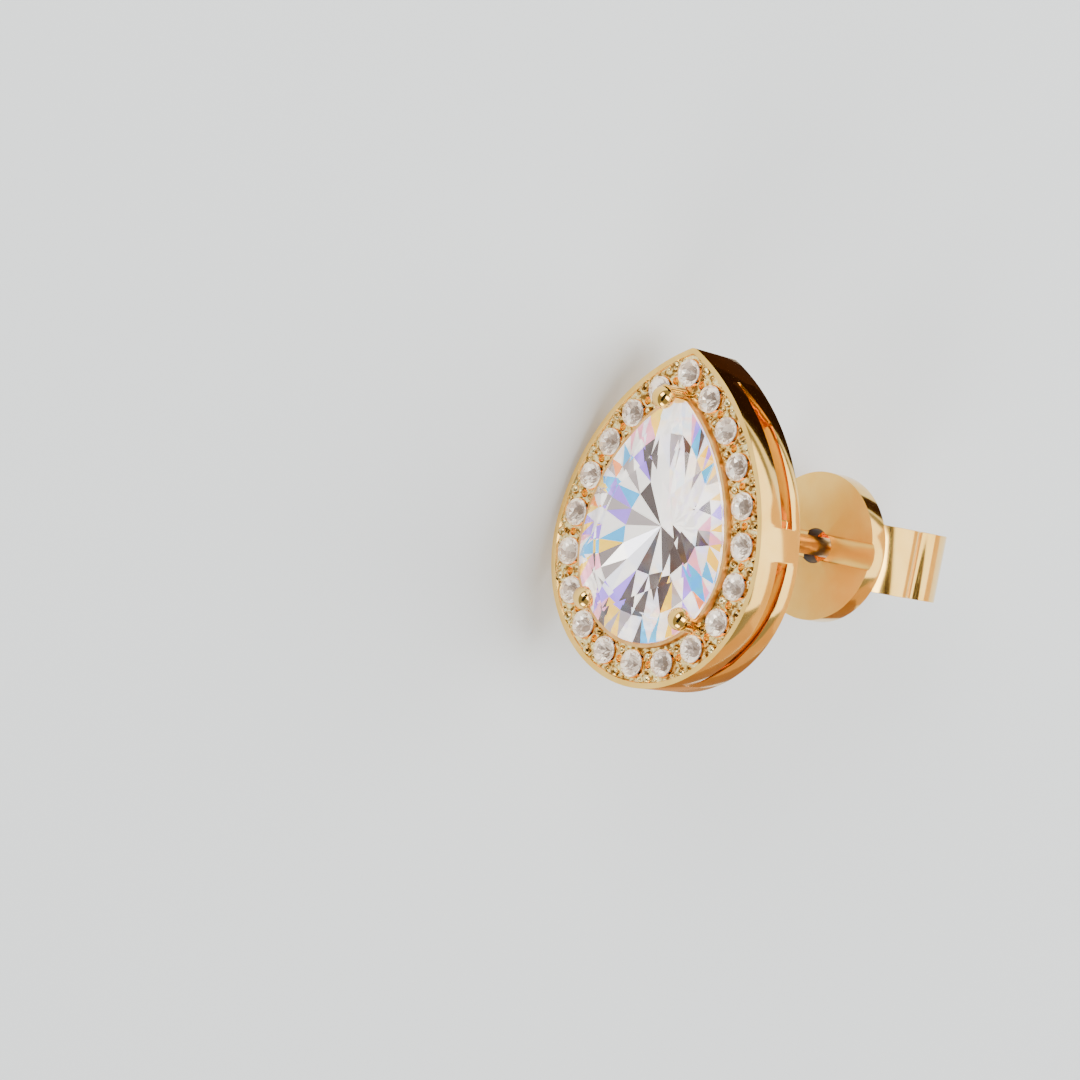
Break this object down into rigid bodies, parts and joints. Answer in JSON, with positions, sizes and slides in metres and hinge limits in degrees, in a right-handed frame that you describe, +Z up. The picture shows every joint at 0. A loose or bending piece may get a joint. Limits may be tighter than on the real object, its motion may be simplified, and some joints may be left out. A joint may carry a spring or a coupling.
{
  "type": "teardrop stud earring with butterfly back",
  "caption": "Teardrop halo stud earring: a pear-cut clear stone in three ball-tipped claws, a pave-set gold halo, a slotted gallery, a straight ear post and a sliding butterfly back.",
  "frame": {"origin": "centre of the lying earring's bounding box, on the surface it lies on", "axes": "+Z up from the surface, +Y along the ear post towards the butterfly back and level with the surface, +X to the right of it; the teardrop's tip points to -X and its right flank faces up"},
  "size_m": [0.0122, 0.0158, 0.01],
  "materials": {
    "gold": "polished yellow gold plate",
    "clear_stone": "polished, brilliant cut",
    "small_stone": "polished, round cut"
  },
  "bodies": {
    "earring": {"setting": "gold", "centre_stone": "clear_stone", "halo_stone_01": "small_stone", "halo_stone_02": "small_stone", "halo_stone_03": "small_stone", "halo_stone_04": "small_stone", "halo_stone_05": "small_stone", "halo_stone_06": "small_stone", "halo_stone_07": "small_stone", "halo_stone_08": "small_stone", "halo_stone_09": "small_stone", "halo_stone_10": "small_stone", "halo_stone_11": "small_stone", "halo_stone_12": "small_stone", "halo_stone_13": "small_stone", "halo_stone_14": "small_stone", "halo_stone_15": "small_stone", "halo_stone_16": "small_stone", "halo_stone_17": "small_stone", "halo_stone_18": "small_stone", "halo_stone_19": "small_stone", "halo_stone_20": "small_stone"},
    "nut": {"ear_nut": "gold"}
  },
  "joints": [
    {"name": "nut_slide", "type": "slide", "parent": "earring", "child": "nut", "axis": [0, 0.9817, -0.1903], "range_m": [-0.00605, 0.0051]}
  ]
}
